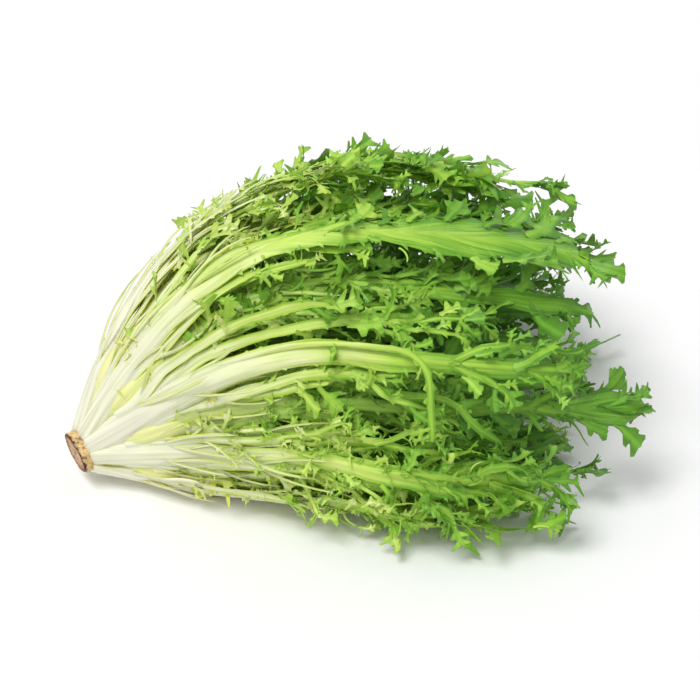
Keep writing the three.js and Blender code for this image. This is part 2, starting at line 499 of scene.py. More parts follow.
class Buds:
    """Points that a lobe grows from, with its directions, size, kind and tone."""

    def __init__(self):
        self.rows = []

    def add(self, points, forward, face, size, tone, kind):
        """Notes some buds, in the leaf's flat space."""
        self.rows.append((points, forward, face, size, tone, kind))

    def mesh(self, name, route):
        """All the buds as points, laid along a route."""
        points, forward, face, size, tone, kind = (np.concatenate(c) for c in zip(*self.rows))
        mesh = bpy.data.meshes.new(name)
        mesh.from_pydata(route.place(points).tolist(), [], [])
        store(mesh, "bud_forward", "FLOAT_VECTOR", route.directions(points, forward))
        store(mesh, "bud_face", "FLOAT_VECTOR", route.directions(points, face))
        store(mesh, "bud_size", "FLOAT", size)
        store(mesh, "bud_tone", "FLOAT", tone)
        store(mesh, "bud_kind", "INT", kind)
        return mesh


# Node trees


class Tree:
    """Adds nodes by type, with inputs given as values or as sockets to link."""

    def __init__(self, node_tree):
        self.nodes, self.links = node_tree.nodes, node_tree.links

    def add(self, kind, *inputs, settings=None, **named):
        """A new node; an underscore in an input's name stands for a space."""
        node = self.nodes.new(kind)
        for name, value in (settings or {}).items():
            setattr(node, name, value)
        spaced = {name.replace("_", " "): value for name, value in named.items()}
        for key, value in [*enumerate(inputs), *spaced.items()]:
            socket = node.inputs[key]
            if isinstance(value, bpy.types.NodeSocket):
                self.links.new(value, socket)
            else:
                socket.default_value = value
        return node

    def math(self, operation, *inputs):
        """The result of a Math node."""
        return self.add("ShaderNodeMath", *inputs, settings={"operation": operation}).outputs[0]

    def vector_math(self, operation, *inputs, output=0, **named):
        """The result of a Vector Math node."""
        settings = {"operation": operation}
        return self.add("ShaderNodeVectorMath", *inputs, settings=settings, **named).outputs[output]

    def scaled(self, vector, number):
        """A vector times a number."""
        return self.vector_math("SCALE", vector, Scale=number)

    def joined(self, *shapes):
        """Geometries joined into one."""
        node = self.add("GeometryNodeJoinGeometry")
        for shape in shapes:
            self.links.new(shape, node.inputs[0])
        return node.outputs[0]


def named_value(tree, name, kind="FLOAT"):
    """The output of a Named Attribute node."""
    node = tree.add("GeometryNodeInputNamedAttribute", name, settings={"data_type": kind})
    return node.outputs["Attribute"]


def leaf_tree():
    """Grows lobes on the buds, ruffles and settles the blade, and gives it its thickness."""
    group = bpy.data.node_groups.new("Endive leaf", "GeometryNodeTree")
    interface = group.interface
    interface.new_socket("Geometry", in_out="INPUT", socket_type="NodeSocketGeometry")
    interface.new_socket("Buds", in_out="INPUT", socket_type="NodeSocketObject")
    interface.new_socket("Lobes", in_out="INPUT", socket_type="NodeSocketCollection")
    for name in ("Ruffle", "Ruffle size", "Crimp", "Crimp size", "Floor", "Ceiling"):
        interface.new_socket(name, in_out="INPUT", socket_type="NodeSocketFloat")
    interface.new_socket("Seed", in_out="INPUT", socket_type="NodeSocketInt")
    interface.new_socket("Material", in_out="INPUT", socket_type="NodeSocketMaterial")
    interface.new_socket("Geometry", in_out="OUTPUT", socket_type="NodeSocketGeometry")
    tree = Tree(group)
    given = tree.add("NodeGroupInput").outputs

    buds = tree.add("GeometryNodeObjectInfo", Object=given["Buds"]).outputs["Geometry"]
    lobes = tree.add(
        "GeometryNodeCollectionInfo",
        Collection=given["Lobes"],
        Separate_Children=True,
        Reset_Children=True,
    ).outputs[0]
    rotation = tree.add(
        "FunctionNodeAxesToRotation",
        named_value(tree, "bud_forward", "FLOAT_VECTOR"),
        named_value(tree, "bud_face", "FLOAT_VECTOR"),
        settings={"primary_axis": "X", "secondary_axis": "Z"},
    ).outputs[0]
    grown = tree.add(
        "GeometryNodeInstanceOnPoints",
        Points=buds,
        Instance=lobes,
        Pick_Instance=True,
        Instance_Index=named_value(tree, "bud_kind", "INT"),
        Rotation=rotation,
        Scale=named_value(tree, "bud_size"),
    ).outputs[0]
    real = tree.add("GeometryNodeRealizeInstances", grown).outputs[0]
    tone = tree.math("ADD", named_value(tree, "bud_tone"), named_value(tree, "tone"))
    toned = tree.add("GeometryNodeStoreNamedAttribute", real, Name="tone", Value=tone).outputs[0]
    shape = tree.joined(toned, given["Geometry"])

    # Two scales of waviness, on the parts of the blade that are loose. The seed shifts the noise.
    position = tree.add("GeometryNodeInputPosition").outputs[0]
    shift = tree.add("ShaderNodeCombineXYZ", given["Seed"]).outputs[0]
    shifted = tree.vector_math("ADD", position, shift)
    waves = []
    for strength, size in (("Ruffle", "Ruffle size"), ("Crimp", "Crimp size")):
        scale = tree.math("DIVIDE", 1.0, given[size])
        noise = tree.add("ShaderNodeTexNoise", Vector=shifted, Scale=scale, Detail=0.0)
        centred = tree.vector_math("SUBTRACT", noise.outputs["Color"], (0.5, 0.5, 0.5))
        height = tree.math("MULTIPLY", given[strength], 2.0)
        waves.append(tree.scaled(centred, tree.math("MULTIPLY", height, named_value(tree, "loose"))))
    offset = tree.vector_math("ADD", *waves)
    shape = tree.add("GeometryNodeSetPosition", shape, Offset=offset).outputs[0]

    # What would reach below the floor is pressed flat on it, and what would stand far above the
    # head bends over.
    position = tree.add("GeometryNodeInputPosition").outputs[0]
    x, y, z = tree.add("ShaderNodeSeparateXYZ", position).outputs
    settled = tree.math("SMOOTH_MAX", z, given["Floor"], FLOOR_EASING)
    settled = tree.math("SMOOTH_MIN", settled, given["Ceiling"], CEILING_EASING)
    placed = tree.add("ShaderNodeCombineXYZ", x, y, settled).outputs[0]
    shape = tree.add("GeometryNodeSetPosition", shape, Position=placed).outputs[0]

    # Two layers, half a thickness to each side, that meet at the edges.
    normal = tree.add("GeometryNodeInputNormal").outputs[0]
    half = named_value(tree, "thick")
    upper = tree.add("GeometryNodeSetPosition", shape, Offset=tree.scaled(normal, half)).outputs[0]
    below = tree.scaled(normal, tree.math("MULTIPLY", half, -1.0))
    lower = tree.add("GeometryNodeSetPosition", shape, Offset=below).outputs[0]
    flipped = tree.add("GeometryNodeFlipFaces", lower).outputs[0]
    both = tree.joined(upper, flipped)
    closed = tree.add("GeometryNodeMergeByDistance", both, Distance=MERGE_DISTANCE).outputs[0]

    # Smooth but for the edges, where the two layers fold back on each other.
    smooth = tree.add("GeometryNodeSetShadeSmooth", closed).outputs[0]
    turn = tree.add("GeometryNodeInputMeshEdgeAngle").outputs[0]
    creased = tree.add(
        "GeometryNodeSetShadeSmooth",
        smooth,
        Selection=tree.math("GREATER_THAN", turn, FOLD_ANGLE),
        Shade_Smooth=False,
        settings={"domain": "EDGE"},
    ).outputs[0]
    final = tree.add("GeometryNodeRealizeInstances", creased).outputs[0]
    coated = tree.add("GeometryNodeSetMaterial", final, Material=given["Material"]).outputs[0]
    tree.add("NodeGroupOutput", coated)
    return group


def run_tree(piece, group, **inputs):
    """The plain mesh that a tree makes of a piece, with its inputs given by name."""
    modifier = piece.modifiers.new(group.name, "NODES")
    modifier.node_group = group
    sockets = {
        item.name: item.identifier
        for item in group.interface.items_tree
        if item.item_type == "SOCKET" and item.in_out == "INPUT"
    }
    for name, value in inputs.items():
        modifier[sockets[name.replace("_", " ")]] = value
    evaluated = piece.evaluated_get(bpy.context.evaluated_depsgraph_get())
    mesh = bpy.data.meshes.new_from_object(evaluated)
    piece.modifiers.remove(modifier)
    return mesh


def shown_piece(name, mesh, slot, *replaced):
    """A finished piece that rides on the head and stands for its CAD nodes."""
    piece = bpy.data.objects.new(name, mesh)
    bpy.context.scene.collection.objects.link(piece)
    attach(piece, "root")
    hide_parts(*replaced)
    return piece


# Leaves


def lobe_sheet(rng, shape):
    """One lobe of unit length: a hooked and curled blade with pairs of fingers on its edges."""
    pairs = shape["pairs"]
    places = np.linspace(0.42, 0.8, pairs) + rng.uniform(-0.05, 0.05, pairs)
    sizes = shape["finger"] * rng.uniform(0.5, 1.6, (2, pairs))
    blunt = shape["blunt"]
    # A finger rises from its first corner, is nearly level between the next two and falls again.
    corners = places[:, None] + np.array([-0.09 - blunt, -blunt, blunt, 0.07 + blunt])
    between = [0, 0.2, 0.92, 1] if pairs > 1 else [0, 0.18, 0.36, 0.54, 0.75, 0.92, 1]
    share = np.unique(np.concatenate([between, corners.ravel()]).clip(0, 1))
    hook = shape["hook"] * rng.uniform(0.5, 1.2) * rng.choice([-1, 1]) * share**1.3
    curl = shape["curl"] * rng.uniform(-1, 1) * share
    heading = np.stack(
        [np.cos(hook) * np.cos(curl), np.sin(hook) * np.cos(curl), np.sin(curl)], axis=1
    )
    path = path_along(np.zeros((1, 3)), heading, np.diff(share) * LOBE_UNIT)
    twist = rng.uniform(-0.6, 0.6) * share
    rib = Rib(path, turned(np.tile(UPWARDS, (len(share), 1)), heading, twist))
    body = np.interp(share, [0, 0.15, 0.7, 0.92, 1], [1.3, 0.9, 0.75 + shape["flare"], 0.6, 0])
    edges = [body * shape["half"], body * shape["half"]]
    for edge, hand_sizes in zip(edges, sizes):
        for row, size in zip(corners, hand_sizes):
            edge += np.interp(share, row, [0, size, size * 0.9, 0])
    sheet = Sheet()
    sheet.add_ribbon(
        rib,
        None,
        edges[0] * LOBE_UNIT,
        edges[1] * LOBE_UNIT,
        fold=rng.uniform(-0.4, 0.6),
        ridge=np.linspace(0.2, 0.12, len(share)) * MM,
        tone=0.06 * share,
        loose=np.ones(len(share)),
        seed=rng.uniform(0, 9),
        vein=0.6,
        sweep=0.5,
    )
    return sheet


def make_lobes(seed):
    """The collection of lobe kinds that the leaves pick from."""
    collection = bpy.data.collections.new("endive_lobes")
    for kind in range(LOBE_KINDS):
        rng = np.random.default_rng([seed, kind])
        name = f"lobe_{kind:02d}"
        sheet = lobe_sheet(rng, LOBE_SHAPES[kind % len(LOBE_SHAPES)])
        collection.objects.link(bpy.data.objects.new(name, sheet.mesh(name)))
    return collection


class Leaf:
    """Grows one leaf: its stalk, strong branches, toothed side ribs and the buds of its lobes."""

    def __init__(self, route, rng, settings, whorl, shape):
        self.route, self.rng, self.settings, self.whorl = route, rng, settings, whorl
        self.shape, self.broad, self.strap = shape, shape["blade"], shape["strap"]
        self.length = route.length - settings.lobe_length
        # Young leaves are thinner and have fewer rows than old ones.
        self.size = 0.55 + 0.45 * whorl["age"]
        self.row_step = (1.6 - 0.6 * whorl["age"]) * MM
        self.bare = whorl["bare"] + shape["barer"]
        self.frill = whorl["frill"] + shape["frill"]
        self.sheet, self.buds = Sheet(), Buds()
        stalk = self.add_stalk()
        ribs = [stalk]
        for sign in (-1, 1):
            for order in range(whorl["branches"] - shape["fewer"]):
                ribs.append(self.add_branch(order, sign))
        for rib in ribs:
            for sign in (-1, 1):
                self.add_side_ribs(rib, sign, self.bare + STALK_BARE * (rib is stalk))
                if whorl["age"] > 0.5:
                    self.add_strand(rib, sign)
        if shape["hanging"]:
            self.add_hanging_rib()

    def half_stalk(self, distance):
        """Half the stalk's width at a distance from its foot."""
        share = distance / self.length
        shares = [0, 0.07, 0.14, 0.22, 0.35, 0.5, 0.8, 1]
        widths = np.interp(share, shares, [0.8, 1.25, 1.35, 1.0, 0.56, 0.36, 0.2, 0.1])
        widths += self.strap * np.interp(share, [0.15, 0.35, 0.52, 0.66], [0, 0.3, 0.3, 0])
        return self.settings.stalk_width / 2 * (0.4 + 0.6 * self.whorl["age"]) * widths

    def half_fan(self, distance):
        """Half the width that the ribs spread over at a distance from the foot."""
        shares = [0, 0.08, 0.2, 0.35, 0.55, 0.85, 1]
        least = lengths_at(distance / self.length, shares, [5, 10, 16, 20, 24, 25, 12])
        return np.maximum(self.route.at(self.route.width, distance), least * self.size)

    def swelling(self, place):
        """How far the ribs bulge out of their solid at a share of the leaf's length."""
        swell = self.whorl["swell"] * MM
        return swell * smoothstep(0, 0.1, place) * smoothstep(0.6, 0.3, place)

    def toothed_rows(self, length, spacing, even=0.0):
        """Shares of a length in threes: a tooth's row with two close to it, then a longer gap.

        Up to the share named even there are no teeth, and the rows are spaced evenly.
        """
        threes = max(round(length / (3 * spacing)), 1)
        middles = (np.arange(threes) + 0.5) / threes
        toothed = middles > even
        middles += toothed * self.rng.uniform(-0.15, 0.15, threes) / threes
        half_tooth = min(HALF_TOOTH / length, 0.3 / threes)
        near = np.where(toothed, half_tooth, 1 / (3 * threes))
        rows = (middles[:, None] + near[:, None] * np.array([-1, 0, 1])).ravel()
        return np.concatenate([[0], rows, [1]])

    def edges(self, wing, chance, tooth, ragged=0.0):
        """Two edges of a blade with toothed rows: its width, with some of the teeth grown.

        A ragged blade has stretches that are narrower by up to that share.
        """
        rng = self.rng
        shape = (2, len(wing))
        three = (np.arange(len(wing)) + 2) // 3
        wing = wing * (1 - ragged * rng.random((2, three[-1] + 1))[:, three])
        grown = (rng.random(shape) < chance) & (np.arange(shape[1]) % 3 == 2)
        teeth = grown * rng.uniform(0.5, 1.2, shape) * tooth
        return wing * rng.uniform(0.92, 1.08, shape) + teeth * np.minimum(wing / MM, 1)

    def add_stalk(self):
        """The stalk, a flat crescent that thins into the leaf's midrib and widens into blade."""
        rng, length = self.rng, self.length
        foot = -STALK_START
        rows = self.toothed_rows(length, STALK_ROWS * self.row_step, even=0.35)
        distance = foot + (length - foot) * rows
        share = np.clip(distance / length, 0, 1)
        meander = rng.uniform(-4, 4) * MM * np.sin(math.pi * share * rng.uniform(1, 2))
        path = np.stack([distance, meander * share, self.swelling(share)], axis=1)
        rib = Rib(path, np.tile(UPWARDS, (len(path), 1)))
        # The flesh of the stalk in the middle, and a blade with teeth on both its edges.
        half = self.half_stalk(distance)
        wing = lengths_at(share, [0, 0.3, 0.5, 0.8, 0.94, 1], [0.2, 0.5, 2, 4.5, 4, 0.5])
        along = (share - self.shape["from"]) / (1 - self.shape["from"])
        wing += self.broad * lengths_at(along, [0, 0.25, 0.5, 0.7, 0.85, 1], [0, 3, 10, 15, 11, 1])
        tooth = lengths_at(share, [0.2, 0.5, 1], [0, 1.6, 4]) * (1 + 0.6 * self.broad)
        chance = 0.4 + 0.5 * self.broad
        left, right = self.edges(wing * self.size, chance, tooth, 0.6 * self.broad)
        zero = half * 0
        offsets = np.stack(
            [half + left, half, half * 0.5, zero, -half * 0.5, -half, -half - right], axis=1
        )
        beyond = np.zeros_like(offsets)
        beyond[:, 0], beyond[:, -1] = left, right
        # The crescent opens from a radius of 14 mm at the foot to 60 mm at the tip.
        crescent = np.interp(share, [0, 0.2, 1], [1 / 14, 1 / 24, 1 / 60])[:, None] / MM
        rise = -crescent * np.minimum(np.abs(offsets), half[:, None]) ** 2 / 2
        rise += beyond * rng.uniform(-0.5, 0.2)
        points = (
            rib.path[:, None]
            + rib.side[:, None] * offsets[..., None]
            + rib.forward[:, None] * (beyond * 0.5)[..., None]
            + rib.face[:, None] * rise[..., None]
        )
        ridge = np.interp(share, [0, 0.1, 0.35, 0.7, 1], [0.9, 1, 0.6, 0.3, 0.12])
        ridge *= self.settings.stalk_thickness / 2 * self.size
        thick = ridge[:, None] * np.array([0, 0.4, 0.88, 1, 0.88, 0.4, 0])
        thick[0] = 0
        # Veins run beside the midrib, and fan out from it in a broad blade.
        fanned = VEIN_SPREAD * np.maximum(distance - self.shape["from"] * length, 0)
        veins = np.abs(offsets) - self.broad * fanned[:, None]
        seeds = offsets * 0 + rng.uniform(0, 9)
        tone = 0.04 * share - 0.1 * self.strap * smoothstep(0.75, 0.55, share)
        loose = np.interp(share, [0.25, 0.75], [0, 0.4])
        self.sheet.add_rows(
            points,
            np.stack([distance[:, None] + beyond, veins, seeds], axis=-1),
            thick=thick,
            rib=np.array([0, 0.75, 1, 1, 1, 0.75, 0])[None],
            loose=loose[:, None] * np.array([2, 1, 1, 1, 1, 1, 2]),
            tone=tone[:, None],
        )
        sizes = np.interp(share, [0.2, 0.5, 0.9], [0.5, 0.8, 1.1])
        sizes += self.broad * np.interp(share, [0.5, 0.86, 0.9], [0.1, 0.4, 1.1])
        edge = half + np.minimum(left, right)
        begin = self.bare + 0.1 * self.whorl["age"]
        gap, freedom = 1 - 0.4 * self.broad, 1 - 0.7 * self.broad
        self.add_buds(rib, edge, sizes, begin, gap, freedom=freedom)
        self.add_frills(rib, half * 0.8)
        return rib

    def add_branch(self, order, sign):
        """A strong branch: it leaves the stalk at a sharp angle and keeps beside it to the top."""
        rng, length, count = self.rng, self.length, self.whorl["branches"]
        begin = length * (0.05 + 0.26 * (order + rng.uniform(-0.3, 0.4)) / count)
        end = length * (0.5 + 0.42 * (order + rng.uniform(-0.5, 0.7)) / count)
        end -= (end - begin) * 0.35 * self.broad
        even = (0.4 * length - begin) / (end - begin)
        share = self.toothed_rows(end - begin, STALK_ROWS * self.row_step, even)
        distance = begin + (end - begin) * share
        # It swings out to a lane of its own, the first branches to the outermost ones, and waves.
        lane = max(count - order + rng.normal(-0.15, 0.5), 0.2) / (count + 0.3)
        inner = self.half_stalk(distance) * 0.6
        outer = np.maximum(self.half_fan(distance) * lane, inner + 2 * MM)
        sideways = inner + (outer - inner) * smoothstep(0, 0.32, share)
        wave = np.sin(2 * math.pi * (share * rng.uniform(0.7, 1.6) + rng.random())) * share
        rise = rng.normal(-2, 2.5) * MM * smoothstep(0, 0.6, share) + 2.5 * MM * wave
        place = distance / length
        rise += self.swelling(place) - inner[0] ** 2 / (2 * CRESCENT_RADIUS)
        sideways += 6 * MM * np.sin(2 * math.pi * (share * 0.8 + rng.random())) * share**1.5
        path = np.stack([distance, sign * sideways, rise], axis=1)
        twist = (rng.normal(0, 0.25) + sign * 0.15) * share
        upwards = np.tile(UPWARDS, (len(path), 1))
        rib = Rib(path, turned(upwards, unit(np.gradient(path, axis=0)), twist))
        core = lengths_at(share, [0, 0.15, 0.5, 1], [2.7, 2.3, 1.4, 0.5]) * self.size
        core *= rng.uniform(0.65, 1.2)
        wing = lengths_at(share, [0, 0.3, 0.5, 0.85, 1], [1.8, 1.2, 1.4, 2.8, 0.8]) * self.size
        left, right = self.edges(wing, 0.5, lengths_at(place, [0.2, 0.5, 0.8], [0, 1.8, 3.5]))
        self.sheet.add_ribbon(
            rib,
            core,
            left,
            right,
            fold=rng.uniform(-0.3, 0.5),
            ridge=lengths_at(share, [0, 0.6, 1], [1.1, 0.6, 0.25]),
            tone=np.interp(share, [0, 1], [0.01, 0.05]),
            loose=np.interp(share, [0.2, 0.8], [0, 0.6]),
            seed=rng.uniform(0, 9),
        )
        sizes = np.interp(share, [0, 0.5, 0.9], [0.4, 0.75, 1.1])
        self.add_buds(rib, wing, sizes, self.bare, 1.3)
        self.add_frills(rib, wing)
        return rib

    def add_frills(self, rib, edge):
        """Small curls low on a rib, that show in the gaps between the outer stalks."""
        if self.frill:
            begin, end = FRILL_RANGE
            sizes, rise = np.full(len(edge), self.frill), FRILL_LIFT * self.frill
            self.add_buds(rib, edge, sizes, begin, 1.0, end=end, tone=-0.06, rise=rise)

    def add_side_ribs(self, parent, sign, bare):
        """The side ribs along one edge of a branch, above the share of the leaf that is bare."""
        rng = self.rng
        spacing = self.settings.rib_spacing / self.whorl["fullness"]
        start = parent.length * 0.12 + spacing * rng.random()
        while start < parent.length * 0.98:
            place = parent.at(parent.path, start)[0] / self.length
            if place > bare and rng.random() > self.broad * (self.shape["from"] < place < 0.9):
                self.add_side_rib(parent, start, sign)
            start += spacing * rng.uniform(0.6, 1.4)

    def add_side_rib(self, parent, start, sign):
        """A side rib with a narrow blade, teeth and lobes; a few stray from their course."""
        rng = self.rng
        reached = parent.at(parent.path, start)[0]
        place = reached / self.length
        youth = 1 - self.whorl["age"]
        lengths = [10 + 30 * youth, 28 + 10 * youth, 44, 44, 28, 16]
        length = lengths_at(place, [0.12, 0.3, 0.5, 0.7, 0.9, 1], lengths)
        length *= rng.uniform(0.55, 1.25) * self.size
        length = min(length, max(self.length - reached, 5 * MM) * ROOM_TAKEN)
        share = self.toothed_rows(length, SIDE_ROWS * self.row_step)
        stray = rng.random() < STRAY_CHANCE
        angle = math.radians(rng.uniform(12, 34))
        angle = angle + rng.normal(0.4 * stray, 0.35 + 0.5 * stray) * share
        angle += 0.2 * np.sin(2 * math.pi * (share * 1.3 + rng.random()))
        lift = rng.normal(0.02, 0.16) * share**0.7 + rng.normal(0, 0.1)
        lift += 0.3 * stray + self.shape["lift"] * smoothstep(0.65, 0.4, place)
        path, headings, face = parent.offshoot(start, sign, angle, lift, np.diff(share) * length)
        twist = rng.normal(0, 0.5) * share + rng.normal(0, 0.25)
        rib = Rib(path, turned(face, headings, twist))
        blade = lengths_at(place, [0.2, 0.5, 0.8, 1], [0.8, 1.7, 2.8, 2.8])
        blade = blade * np.interp(share, [0, 0.15, 0.7, 1], [1.1, 0.75, 1.15, 0.3])
        left, right = self.edges(blade, 0.7, lengths_at(share, [0, 0.2, 1], [0.5, 1.8, 2.6]))
        self.sheet.add_ribbon(
            rib,
            None,
            left,
            right,
            fold=rng.uniform(-0.3, 0.7),
            ridge=np.linspace(0.45, 0.15, len(share)) * MM,
            tone=np.interp(share, [0, 1], [0.01, 0.07]),
            loose=smoothstep(0, 0.5, share) * 0.8 + 0.2,
            seed=rng.uniform(0, 9),
        )
        sizes = [0.3 + 0.8 * youth, 0.48 + 0.5 * youth, 0.7, 1.1, 1]
        size = np.interp(place, [0.12, 0.3, 0.5, 0.8, 1], sizes)
        self.add_buds(rib, blade, size * np.interp(share, [0, 0.6, 1], [0.7, 1, 1]), 0.1, 1.3)

    def add_strand(self, parent, sign):
        """A thin pale rib that leaves the lower part of a branch and runs up close beside it."""
        rng = self.rng
        start = parent.length * rng.uniform(0.05, 0.3)
        length = rng.uniform(30, 60) * MM
        share = np.linspace(0, 1, 9)
        angle = math.radians(rng.uniform(12, 26)) * np.cos(rng.uniform(1, 2.4) * share)
        lift = rng.uniform(-0.05, 0.25) * np.cos(2 * share)
        path, _, face = parent.offshoot(start, sign, angle, lift, np.diff(share) * length)
        blade = lengths_at(share, [0, 0.2, 1], [1.6, 0.9, 0.6]) * rng.uniform(0.8, 1.5)
        self.sheet.add_ribbon(
            Rib(path, face),
            None,
            blade,
            blade,
            fold=-0.5,
            ridge=lengths_at(share, [0, 1], [0.7, 0.3]),
            tone=-0.06 - 0.04 * share,
            loose=0.3 * share,
            seed=rng.uniform(0, 9),
        )

    def add_hanging_rib(self):
        """A rib along the upper edge of the stalk, that bends down over the leaves below."""
        before = HANGING_UP * self.length
        whole = before + HANGING_DOWN
        reached = whole * self.toothed_rows(whole, SIDE_ROWS * MM, even=1)
        bend_begin, bend_end = HANGING_BEND
        angle = HANGING_ANGLE * smoothstep(before + bend_begin, before + bend_end, reached)
        heading = np.stack([np.cos(angle), -np.sin(angle)], axis=1)
        start = np.array([HANGING_START[0] * self.length, HANGING_START[1]])
        flat = path_along(start, heading, np.diff(reached))
        out = lengths_at(reached, [0, before * 0.4, before, whole], [-1, 1.5, 6, 1])
        rib = Rib(np.column_stack([flat, out]), np.tile(UPWARDS, (len(flat), 1)))
        share = rib.share
        wing = lengths_at(share, [0, 0.6, 1], [0.2, 0.8, 2])
        left, right = self.edges(wing, 0.7, lengths_at(share, [0.5, 0.7, 1], [0, 2, 3]))
        self.sheet.add_ribbon(
            rib,
            lengths_at(share, [0, 0.5, 1], [1.5, 0.9, 0.2]),
            left,
            right,
            fold=-0.3,
            ridge=lengths_at(share, [0, 0.5, 1], [1, 0.7, 0.25]),
            tone=np.interp(share, [0, 0.6, 1], [-0.05, -0.05, 0.2]),
            loose=smoothstep(0.6, 1, share) * 0.5,
            seed=self.rng.uniform(0, 9),
        )
        self.add_buds(rib, wing, 0.5 + 0.3 * share, 0.65, 0.8)

    def add_buds(self, rib, edge, sizes, begin, gap, freedom=1, end=1, tone=0, rise=0):
        """Buds of lobes on both edges of a rib, between two shares of its length.

        The gap is the space between them in usual spaces, and the freedom says how far they turn
        out of the blade. Where they go on to the end of the rib, there are some at its tip too.
        """
        rng = self.rng
        spacing = self.settings.lobe_spacing * gap
        steps = rng.uniform(0.6, 1.4, int(rib.length / spacing) + 1) * spacing
        reached = np.cumsum(steps) + rib.length * begin - spacing * 0.5
        reached = reached[reached < rib.length * min(end, 0.9)]
        if end == 1:
            reached = np.append(reached, rib.length * np.array([0.92, 0.94, 0.97]))
        count = len(reached)
        hand = np.where(np.arange(count) % 2 == 0, 1.0, -1.0) * rng.choice([-1, 1])
        forward, face, side = (
            unit(rib.at(rows, reached)) for rows in (rib.forward, rib.face, rib.side)
        )
        width = np.interp(reached, rib.reached, edge)
        points = rib.at(rib.path, reached) + side * (hand * width * 0.85)[:, None]
        angle = np.radians(rng.uniform(25, 60, count)) * hand
        angle[-1:] *= 0.15  # the last one goes on nearly straight
        heading = turned(forward, face, angle)
        face = turned(face, heading, rng.normal(0, 0.4, count) * freedom)
        across = np.cross(face, heading)
        lift = np.clip(rng.normal(-0.1, 0.25, count), -0.8, 0.25) * freedom
        lift += rise - 0.15 * self.broad
        heading, face = turned(heading, across, lift), turned(face, across, lift)
        size = np.interp(reached, rib.reached, sizes) * rng.uniform(0.7, 1.17, count) ** 2
        size *= self.shape["lobes"] * self.settings.lobe_length / LOBE_UNIT
        tones = tone + 0.05 * reached / rib.length + rng.normal(0, 0.12, count)
        self.buds.add(points, heading, face, size, tones, rng.integers(0, LOBE_KINDS, count))


class LeafKit:
    """What all leaves share: the settings, the lobes, the tree, the material and the solids."""

    def __init__(self, settings):
        self.settings = settings
        self.lobes = bpy.data.collections.get("endive_lobes") or make_lobes(settings.seed)
        self.group = bpy.data.node_groups.get("Endive leaf") or leaf_tree()
        self.material = bpy.data.materials.get("endive_leaf") or leaf_material(settings)
        _, self.foot, _ = stump_axis()
        solids = [node for name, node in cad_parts.items() if name != "stump"]
        self.corners = np.concatenate([corners_of(node) for node in solids])


def make_leaf(name, whorl, kit, seed):
    """One leaf, grown along its solid."""
    settings = kit.settings
    rng = np.random.default_rng([settings.seed, seed])
    route = LeafRoute(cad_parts[name], kit.foot, kit.corners)
    shape = LEAF_SHAPES.get(name, PLAIN_SHAPE)
    leaf = Leaf(route, rng, settings, whorl, shape)
    ribs = bpy.data.objects.new(name + "_ribs", leaf.sheet.mesh(name + "_ribs", route.place))
    buds = bpy.data.objects.new(name + "_buds", leaf.buds.mesh(name + "_buds", route))
    for helper in (ribs, buds):
        bpy.context.scene.collection.objects.link(helper)
    mesh = run_tree(
        ribs,
        kit.group,
        Buds=buds,
        Lobes=kit.lobes,
        Ruffle=settings.ruffle,
        Ruffle_size=settings.ruffle_size,
        Crimp=settings.crimp,
        Crimp_size=settings.crimp_size,
        Floor=FLOOR_GAP,
        Ceiling=CAD_BOX[1][2] + CEILING_RISE,
        Seed=seed,
        Material=kit.material,
    )
    for helper in (ribs, buds):
        bpy.data.objects.remove(helper)
    set_colour_values(mesh, whorl["age"], kit.foot, shape["tone"])
    return shown_piece(name + "_blade", mesh, whorl["slot"], name)


def set_colour_values(mesh, age, foot, tone):
    """What the leaf material reads: the distance from the stump, the leaf's age and tone."""
    points = np.zeros(len(mesh.vertices) * 3)
    mesh.vertices.foreach_get("co", points)
    distance = np.linalg.norm(points.reshape(-1, 3) - foot, axis=1)
    store(mesh, "distance", "FLOAT", distance)
    store(mesh, "age", "FLOAT", np.full(len(distance), age))
    tones = np.zeros(len(distance), np.float32)
    mesh.attributes["tone"].data.foreach_get("value", tones)
    mesh.attributes["tone"].data.foreach_set("value", tones + np.float32(tone))
    for spare in ("bud_forward", "bud_face", "bud_size", "bud_tone", "bud_kind", "thick", "loose"):
        if spare in mesh.attributes:
            mesh.attributes.remove(mesh.attributes[spare])


# Materials


def srgb(red, green, blue):
    """A colour given in 0 to 255, as linear light."""
    levels = np.array([red, green, blue]) / 255
    linear = np.where(levels <= 0.04045, levels / 12.92, ((levels + 0.055) / 1.055) ** 2.4)
    return tuple(linear.tolist())


# The colours of a leaf by how green it is, from 0 by the stump to 1 at the far end. The settings
# hold the ones that are left out here: the old ribs' and young blades' first and the old
# blades' last.
LEAF_COLOURS = {
    "old_rib": (
        (0.25, srgb(236, 239, 202)),
        (0.4, srgb(229, 238, 174)),
        (0.54, srgb(206, 227, 118)),
        (0.7, srgb(180, 217, 86)),
        (0.85, srgb(160, 204, 72)),
        (1.0, srgb(138, 190, 62)),
    ),
    "old_blade": (
        (0.0, srgb(228, 231, 112)),
        (0.25, srgb(208, 225, 78)),
        (0.5, srgb(164, 207, 52)),
        (0.7, srgb(124, 184, 48)),
        (0.85, srgb(99, 164, 44)),
    ),
    # Young leaves lie deep in the head, in the gaps under the old ones. Away from the stump they turn
    # a darker green than old leaves: partly their own green and partly painted shade for those gaps.
    "young_rib": (
        (0.0, srgb(238, 234, 112)),
        (0.22, srgb(224, 234, 96)),
        (0.38, srgb(182, 214, 76)),
        (0.55, srgb(132, 189, 60)),
        (1.0, srgb(92, 158, 46)),
    ),
    "young_blade": (
        (0.22, srgb(226, 236, 62)),
        (0.38, srgb(144, 194, 44)),
        (0.55, srgb(94, 154, 38)),
        (1.0, srgb(56, 110, 28)),
    ),
}


def new_material(name):
    """A material without nodes, and the tree to build it in."""
    material = bpy.data.materials.new(name)
    material.use_nodes = True
    material.node_tree.nodes.clear()
    return material, Tree(material.node_tree)


